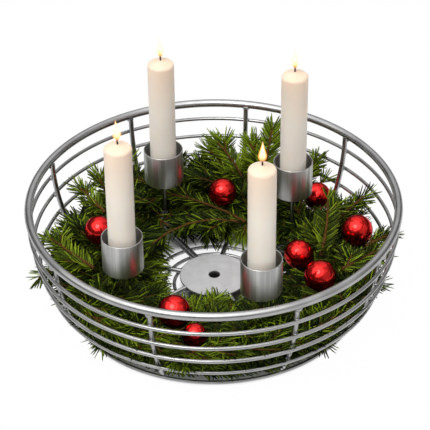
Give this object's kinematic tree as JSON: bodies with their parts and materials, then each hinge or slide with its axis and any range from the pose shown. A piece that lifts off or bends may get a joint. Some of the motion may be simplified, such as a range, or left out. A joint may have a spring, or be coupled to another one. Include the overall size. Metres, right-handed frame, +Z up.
{
  "type": "advent candle holder",
  "caption": "Round wire basket with a centre plate and candle cups on bent stems, dressed with a fir wreath, ivory candles and red glass baubles.",
  "frame": {"origin": "on the basket's axis at the table that its ribs stand on", "axes": "+Z up along the basket's axis and the centre hole, -Y towards the picture's viewer, +X to the viewer's right"},
  "size_m": [0.3599, 0.36, 0.2188],
  "materials": {
    "wire": "zinc-grey satin wire, drawn and welded",
    "plate": "pale grey matt sheet steel",
    "cup": "satin drawn steel with upright brushing",
    "wax": "ivory candle wax",
    "wick": "charred cotton",
    "bauble": "glossy red mirrored glass",
    "cap": "thin pressed metal",
    "fir": "fresh green needles on brown twigs"
  },
  "bodies": {
    "holder": {"top_ring": "wire", "side_ring_1": "wire", "side_ring_2": "wire", "side_ring_3": "wire", "side_ring_4": "wire", "foot_ring": "wire", "base_ring_1": "wire", "base_ring_2": "wire", "base_ring_3": "wire", "rib_1": "wire", "rib_2": "wire", "rib_3": "wire", "rib_4": "wire", "rib_5": "wire", "rib_6": "wire", "rib_7": "wire", "rib_8": "wire", "stem_1": "wire", "stem_2": "wire", "stem_3": "wire", "stem_4": "wire", "centre_plate": "plate", "cup_1": "cup", "cup_2": "cup", "cup_3": "cup", "cup_4": "cup", "fir_sprig_1": "fir", "fir_sprig_2": "fir", "fir_sprig_3": "fir", "fir_sprig_4": "fir", "fir_sprig_5": "fir", "fir_sprig_6": "fir", "fir_sprig_7": "fir", "fir_sprig_8": "fir", "fir_sprig_9": "fir", "fir_sprig_10": "fir"},
    "candle_1_body": {"candle_1": "wax", "wick_1": "wick"},
    "candle_2_body": {"candle_2": "wax", "wick_2": "wick"},
    "candle_3_body": {"candle_3": "wax", "wick_3": "wick"},
    "candle_4_body": {"candle_4": "wax", "wick_4": "wick"},
    "bauble_1_body": {"bauble_1": "bauble", "bauble_cap_1": "cap"},
    "bauble_2_body": {"bauble_2": "bauble", "bauble_cap_2": "cap"},
    "bauble_3_body": {"bauble_3": "bauble", "bauble_cap_3": "cap"},
    "bauble_4_body": {"bauble_4": "bauble", "bauble_cap_4": "cap"},
    "bauble_5_body": {"bauble_5": "bauble", "bauble_cap_5": "cap"},
    "bauble_6_body": {"bauble_6": "bauble", "bauble_cap_6": "cap"},
    "bauble_7_body": {"bauble_7": "bauble", "bauble_cap_7": "cap"},
    "bauble_8_body": {"bauble_8": "bauble", "bauble_cap_8": "cap"}
  },
  "joints": [
    {"name": "candle_1_lift", "type": "slide", "parent": "holder", "child": "candle_1_body", "axis": [0, 0, 1], "range_m": [0, 0.045]},
    {"name": "candle_2_lift", "type": "slide", "parent": "holder", "child": "candle_2_body", "axis": [0, 0, 1], "range_m": [0, 0.045]},
    {"name": "candle_3_lift", "type": "slide", "parent": "holder", "child": "candle_3_body", "axis": [0, 0, 1], "range_m": [0, 0.045]},
    {"name": "candle_4_lift", "type": "slide", "parent": "holder", "child": "candle_4_body", "axis": [0, 0, 1], "range_m": [0, 0.045]},
    {"name": "bauble_1_lift", "type": "slide", "parent": "holder", "child": "bauble_1_body", "axis": [0, 0, 1], "range_m": [0, 0.09]},
    {"name": "bauble_2_lift", "type": "slide", "parent": "holder", "child": "bauble_2_body", "axis": [0, 0, 1], "range_m": [0, 0.09]},
    {"name": "bauble_3_lift", "type": "slide", "parent": "holder", "child": "bauble_3_body", "axis": [0, 0, 1], "range_m": [0, 0.09]},
    {"name": "bauble_4_lift", "type": "slide", "parent": "holder", "child": "bauble_4_body", "axis": [0, 0, 1], "range_m": [0, 0.09]},
    {"name": "bauble_5_lift", "type": "slide", "parent": "holder", "child": "bauble_5_body", "axis": [0, 0, 1], "range_m": [0, 0.09]},
    {"name": "bauble_6_lift", "type": "slide", "parent": "holder", "child": "bauble_6_body", "axis": [0, 0, 1], "range_m": [0, 0.09]},
    {"name": "bauble_7_lift", "type": "slide", "parent": "holder", "child": "bauble_7_body", "axis": [0, 0, 1], "range_m": [0, 0.09]},
    {"name": "bauble_8_lift", "type": "slide", "parent": "holder", "child": "bauble_8_body", "axis": [0, 0, 1], "range_m": [0, 0.09]}
  ]
}
